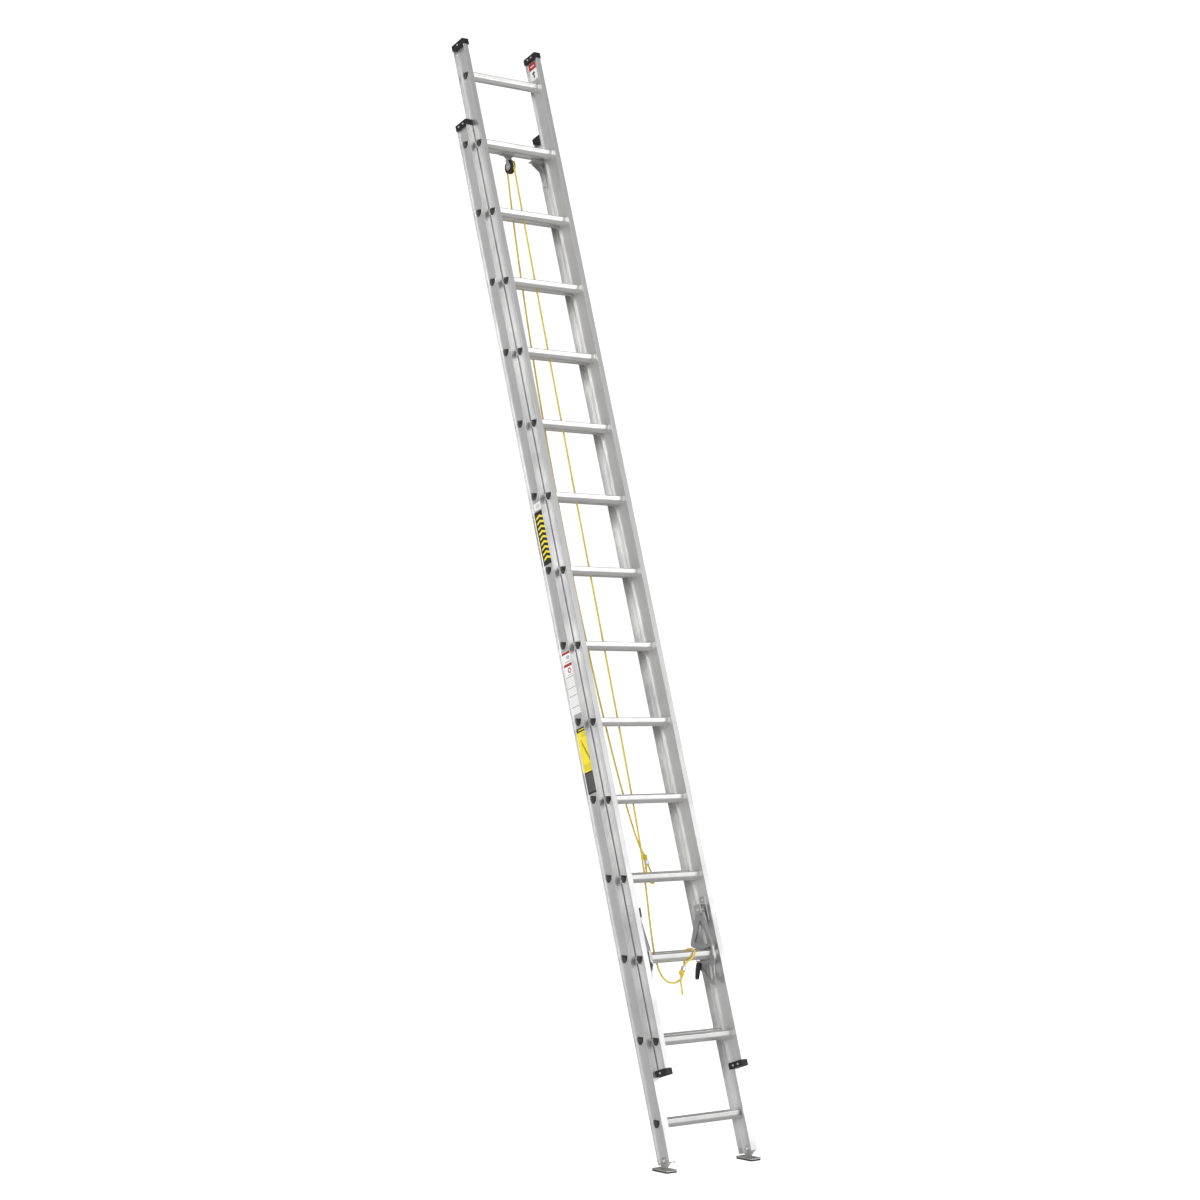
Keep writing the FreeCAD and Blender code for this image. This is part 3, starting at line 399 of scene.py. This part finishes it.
def strandMesh(spots, phase):
    size = rope["diameter"] / 2
    radius = size * rope["squeeze"]
    orbit = size - radius
    curve = bpy.data.curves.new("strand", "CURVE")
    curve.dimensions = "3D"
    curve.bevel_depth = radius
    curve.bevel_resolution = 1
    curve.use_fill_caps = True
    spline = curve.splines.new("POLY")
    spline.points.add(len(spots) - 1)
    side = (spots[1] - spots[0]).orthogonal().normalized()
    travelled = 0.0
    for i, spot in enumerate(spots):
        ahead = (spots[min(i + 1, len(spots) - 1)] - spots[max(i - 1, 0)]).normalized()
        side = (side - ahead * side.dot(ahead)).normalized()
        if i:
            travelled += (spot - spots[i - 1]).length
        angle = phase + 2 * math.pi * travelled / rope["lay"]
        offset = side * math.cos(angle) + ahead.cross(side) * math.sin(angle)
        spline.points[i].co = (*(spot + offset * orbit), 1)
    return meshOfCurve(curve)


def ropePiece(name, line, body):
    spots = evenly(line, rope["step"])
    shape = bmesh.new()
    for k in range(rope["strands"]):
        strand = strandMesh(spots, 2 * math.pi * k / rope["strands"])
        shape.from_mesh(strand)
        bpy.data.meshes.remove(strand)
    piece = finishedPiece(name, shape, [materials["rope_fibre"]], smooth=True)
    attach(piece, body)
    return piece


def finishedPiece(name, shape, finishList, smooth=False):
    mesh = bpy.data.meshes.new(name)
    bmesh.ops.recalc_face_normals(shape, faces=shape.faces)
    shape.to_mesh(mesh)
    shape.free()
    for material in finishList:
        mesh.materials.append(material)
    for face in mesh.polygons:
        face.use_smooth = smooth
    piece = bpy.data.objects.new(name, mesh)
    bpy.context.collection.objects.link(piece)
    return piece


def knotLine(middle, along, turns, width, height):
    along = along.normalized()
    side = along.orthogonal().normalized()
    third = along.cross(side)
    count = int(turns * 8)
    points = []
    for i in range(count + 1):
        angle = i * math.pi / 4
        swell = width * (1 - 0.25 * abs(2 * i / count - 1))
        points.append(middle + along * (height * (i / count - 0.5))
                      + (side * math.cos(angle) + third * math.sin(angle)) * swell)
    return points


def lineThrough(worldPoints):
    back = standing.inverted()
    return lineOf([tuple((back @ p) * 1000) for p in worldPoints])


knots = {"turns": 2.25, "width": 0.0078, "height": 0.015}

liftLine = lineOf(liftRoute)
returnLine = lineOf(returnRoute)
flyLoopLine = lineOf(flyLoopRoute)
ropeLift = ropePiece("ropeLift", liftLine, "base_section")
ropeReturn = ropePiece("ropeReturn", returnLine, "base_section")
ropeFlyLoop = ropePiece("ropeFlyLoop", flyLoopLine, "fly_section")
knotBaseSpot = onLadder(-1, 13, 993)
knotFlySpot = onLadder(6, -54.5, 533)
knotBase = ropePiece("knotBase", lineThrough(knotLine(
    knotBaseSpot, upLadder, knots["turns"], knots["width"], knots["height"])), "base_section")
knotFly = ropePiece("knotFly", lineThrough(knotLine(
    knotFlySpot, onLadder(14, -53, 544) - onLadder(0, -57, 527), knots["turns"], knots["width"],
    knots["height"])), "fly_section")
for piece, node in ((ropeLift, "rope_lift"), (ropeReturn, "rope_return"),
                    (ropeFlyLoop, "rope_fly_loop")):
    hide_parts(node)
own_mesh(ropeLift)
print("rope", len(ropeLift.data.polygons), "faces")


# Labels: plain colour fields, rules and arrows, with no lettering

inks = {
    "white": (0.86, 0.86, 0.85, 1),
    "black": (0.012, 0.012, 0.012, 1),
    "yellow": (0.88, 0.72, 0.02, 1),
    "red": (0.42, 0.02, 0.03, 1),
    "grey": (0.42, 0.42, 0.42, 1),
}
labels = {
    "thickness": 0.00018,
    "layer": 0.00006,
    "webOutside": 205.2,
    "flyWebInside": 179.3,
}


def inkMaterial(name, ink):
    faded = tuple(0.9 * c + 0.03 for c in ink[:3]) + (1,)
    finish = {"group": "mouldedGrain", "turn": alongRails, "metallic": 0.0, "bump": 0.05,
              "depth": 0.0001,
              "values": {"Tint": ink, "Dust": faded, "Grain": 900.0, "Sheen": 0.36, "Wear": 0.5}}
    return finishMaterial("ink_" + name, finish)


inkMaterials = [inkMaterial(name, ink) for name, ink in inks.items()]
inkIndex = {name: i for i, name in enumerate(inks)}


def labelField(shape, ink, y0, y1, z0, z1, layer=0, skew=0.0):
    made = bmesh.ops.create_cube(shape, size=1.0)["verts"]
    thick = labels["thickness"] + labels["layer"] * layer
    bmesh.ops.scale(shape, verts=made, vec=(thick, (y1 - y0) / 1000, (z1 - z0) / 1000))
    for v in made:
        v.co.z += skew / 1000 * (1 if v.co.y > 0 else 0)
    bmesh.ops.translate(shape, verts=made, vec=(thick / 2, (y0 + y1) / 2000, (z0 + z1) / 2000))
    for face in {f for v in made for f in v.link_faces}:
        face.material_index = inkIndex[ink]


def labelPiece(name, shape, x, outward, body):
    bmesh.ops.scale(shape, verts=shape.verts, vec=(outward, 1, 1))
    bmesh.ops.translate(shape, verts=shape.verts, vec=(x / 1000, 0, 0))
    bmesh.ops.transform(shape, matrix=standing, verts=shape.verts)
    piece = finishedPiece(name, shape, inkMaterials)
    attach(piece, body)
    return piece


def ruledLines(shape, ink, y0, y1, z0, z1, count, weight, layer):
    for i in range(count):
        z = z0 + (z1 - z0) * (i + 0.5) / count
        labelField(shape, ink, y0, y1, z - weight / 2, z + weight / 2, layer)


def buildLabels():
    tag = bmesh.new()
    labelField(tag, "white", -30, 16, 2382, 2410)
    labelField(tag, "grey", -18, 4, 2388, 2404, 1)
    ruledLines(tag, "white", -16, 2, 2389, 2403, 4, 1.4, 2)
    labelPiece("labelTag", tag, -labels["webOutside"], -1, "base_section")

    banner = bmesh.new()
    labelField(banner, "black", -32, 23, 2158, 2376)
    for i in range(9):
        z = 2176 + i * 21
        labelField(banner, "yellow", -26, -5, z, z + 9, 1, skew=9)
        labelField(banner, "yellow", -5, 16, z + 9, z + 18, 1, skew=-9)
    labelPiece("labelBanner", banner, -labels["webOutside"], -1, "base_section")

    chart = bmesh.new()
    labelField(chart, "white", -32, 23, 1556, 1803)
    labelField(chart, "red", -31, 22, 1792, 1802, 1)
    labelField(chart, "red", -31, 22, 1744, 1755, 1)
    labelField(chart, "grey", -20, -2, 1772, 1785, 1)
    labelField(chart, "grey", -26, 12, 1760, 1764, 1)
    ring = bmesh.ops.create_circle(chart, segments=28, radius=0.0105, cap_ends=True)["verts"]
    bmesh.ops.rotate(chart, verts=ring, cent=(0, 0, 0), matrix=Matrix.Rotation(math.pi / 2, 3, "Y"))
    bmesh.ops.translate(chart, verts=ring, vec=(labels["thickness"] + 0.0001, -0.007, 1.728))
    for face in {f for v in ring for f in v.link_faces}:
        face.material_index = inkIndex["red"]
    labelField(chart, "white", -12, -2, 1723, 1733, 3)
    labelField(chart, "grey", -22, 10, 1710, 1713, 1)
    for z in (1703, 1660, 1628, 1584):
        labelField(chart, "black", -31, 22, z - 1, z + 1, 1)
    for low, high in ((1664, 1700), (1631, 1657), (1588, 1625), (1559, 1581)):
        ruledLines(chart, "grey", -28, 19, low, high, max(2, int((high - low) / 6)), 1.1, 1)
    labelPiece("labelChart", chart, -labels["webOutside"], -1, "base_section")

    caution = bmesh.new()
    labelField(caution, "yellow", -32, 23, 1243, 1500)
    labelField(caution, "black", -32, 23, 1484, 1500, 1)
    ruledLines(caution, "yellow", -24, 12, 1488, 1496, 1, 4, 2)
    ruledLines(caution, "black", -28, 0, 1462, 1480, 3, 1.1, 1)
    labelField(caution, "black", -30, 8, 1366, 1371, 1, skew=86)
    for i in range(6):
        labelField(caution, "black", -24 + i * 5, -21 + i * 5, 1369 + i * 12, 1384 + i * 12, 1)
    ruledLines(caution, "black", -28, 19, 1334, 1360, 4, 1.1, 1)
    labelField(caution, "black", -32, 23, 1243, 1328, 1)
    ruledLines(caution, "grey", -27, 18, 1250, 1322, 9, 1.3, 2)
    labelPiece("labelCaution", caution, -labels["webOutside"], -1, "base_section")

    topMark = bmesh.new()
    labelField(topMark, "red", -81, -34, 4340, 4368)
    labelField(topMark, "white", -70, -45, 4352, 4356, 1)
    labelField(topMark, "white", -81, -34, 4292, 4337)
    labelField(topMark, "black", -62, -54, 4300, 4322, 1)
    labelField(topMark, "black", -68, -58, 4318, 4324, 1, skew=6)
    labelField(topMark, "black", -58, -48, 4324, 4330, 1, skew=-6)
    labelPiece("labelTop", topMark, labels["flyWebInside"], -1, "fly_section")


buildLabels()
print("labels")


# Small marks left by the presses that join the rails, on the left web

dimples = {
    "radius": 3.2,
    "rise": 0.7,
    "spots": [(10, 778), (-3, 778), (12, 748), (8, 4008), (-12, 4008)],
}


def buildDimples():
    shape = bmesh.new()
    for y, z in dimples["spots"]:
        made = bmesh.ops.create_uvsphere(shape, u_segments=20, v_segments=12,
                                         radius=dimples["radius"] / 1000)["verts"]
        bmesh.ops.scale(shape, verts=made, vec=(dimples["rise"] / dimples["radius"], 1, 1))
        bmesh.ops.translate(shape, verts=made,
                            vec=(-labels["webOutside"] / 1000, y / 1000, z / 1000))
    bmesh.ops.transform(shape, matrix=standing, verts=shape.verts)
    piece = finishedPiece("pressMarks", shape, [materials["rail_aluminium"]], smooth=True)
    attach(piece, "base_section")


buildDimples()
print("press marks")


# Stage, light and camera

studio = {
    "floorColour": (0.93, 0.93, 0.93, 1),
    "floorGlow": 0.85,
    "below": 0.45,
    "horizon": 1.02,
    "above": 0.32,
    "evenly": 0.72,
    "front": 0.38,
    "side": 0.10,
    "backdrop": (1.1, 1.1, 1.1, 1),
    "keyPlace": (-7, -3, 6.5),
    "keyPower": 240,
    "fillPlace": (6, -8, 3.5),
    "fillPower": 130,
}


def buildStage():
    shape = bmesh.new()
    bmesh.ops.create_grid(shape, x_segments=1, y_segments=1, size=60)
    material = bpy.data.materials.new("floor")
    material.use_nodes = True
    shader = material.node_tree.nodes["Principled BSDF"]
    shader.inputs["Base Color"].default_value = studio["floorColour"]
    shader.inputs["Roughness"].default_value = 0.9
    shader.inputs["Specular IOR Level"].default_value = 0.1
    shader.inputs["Emission Color"].default_value = (1, 1, 1, 1)
    shader.inputs["Emission Strength"].default_value = studio["floorGlow"]
    floor = finishedPiece("floor", shape, [material])
    floor.visible_glossy = False


def buildWorld():
    world = bpy.data.worlds.new("studio")
    world.use_nodes = True
    tree = world.node_tree
    back = tree.nodes["Background"]
    place = addNode(tree, "ShaderNodeTexCoord")
    split = addNode(tree, "ShaderNodeSeparateXYZ")
    tree.links.new(place.outputs["Generated"], split.inputs[0])
    rising = addRange(tree, split.outputs["Z"], -0.5, -0.12, studio["below"], studio["horizon"])
    falling = addRange(tree, split.outputs["Z"], 0.28, 0.64, 0.0, studio["horizon"] - studio["above"])
    level = addMath(tree, "SUBTRACT", rising, falling)
    turned = addMath(tree, "ADD", addMath(tree, "MULTIPLY", split.outputs["Y"], studio["front"]),
                     addMath(tree, "MULTIPLY", split.outputs["X"], studio["side"]))
    level = addMath(tree, "MULTIPLY", level, addMath(tree, "SUBTRACT", studio["evenly"], turned))
    seen = addNode(tree, "ShaderNodeLightPath").outputs["Is Camera Ray"]
    shown = addMix(tree, seen, level, studio["backdrop"])
    tree.links.new(shown, back.inputs["Color"])
    bpy.context.scene.world = world


def addSoftbox(name, place, target, width, height, power):
    light = bpy.data.lights.new(name, "AREA")
    light.shape = "RECTANGLE"
    light.size = width
    light.size_y = height
    light.energy = power
    lamp = bpy.data.objects.new(name, light)
    lamp.location = place
    lamp.rotation_euler = (Vector(target) - Vector(place)).to_track_quat("-Z", "Y").to_euler()
    bpy.context.collection.objects.link(lamp)


viewpoint = {
    "lens": 78.5,
    "sensor": 36,
    "farthest": 200,
    "place": (-6.366, -7.267, 1.675),
    "raised": math.radians(2.35),
    "heading": math.radians(-38.896),
}


def buildCamera():
    camera = bpy.data.cameras.new("camera")
    camera.lens = viewpoint["lens"]
    camera.sensor_width = viewpoint["sensor"]
    camera.clip_end = viewpoint["farthest"]
    holder = bpy.data.objects.new("camera", camera)
    holder.location = viewpoint["place"]
    holder.rotation_euler = (math.radians(90) + viewpoint["raised"], 0, viewpoint["heading"])
    bpy.context.collection.objects.link(holder)
    bpy.context.scene.camera = holder


buildStage()
buildWorld()
addSoftbox("keyLight", studio["keyPlace"], (0, 0.6, 2.2), 5, 5, studio["keyPower"])
addSoftbox("fillLight", studio["fillPlace"], (0, 0.6, 2.0), 6, 5, studio["fillPower"])
buildCamera()
bpy.context.scene.view_settings.view_transform = "Standard"
print("stage, light and camera")
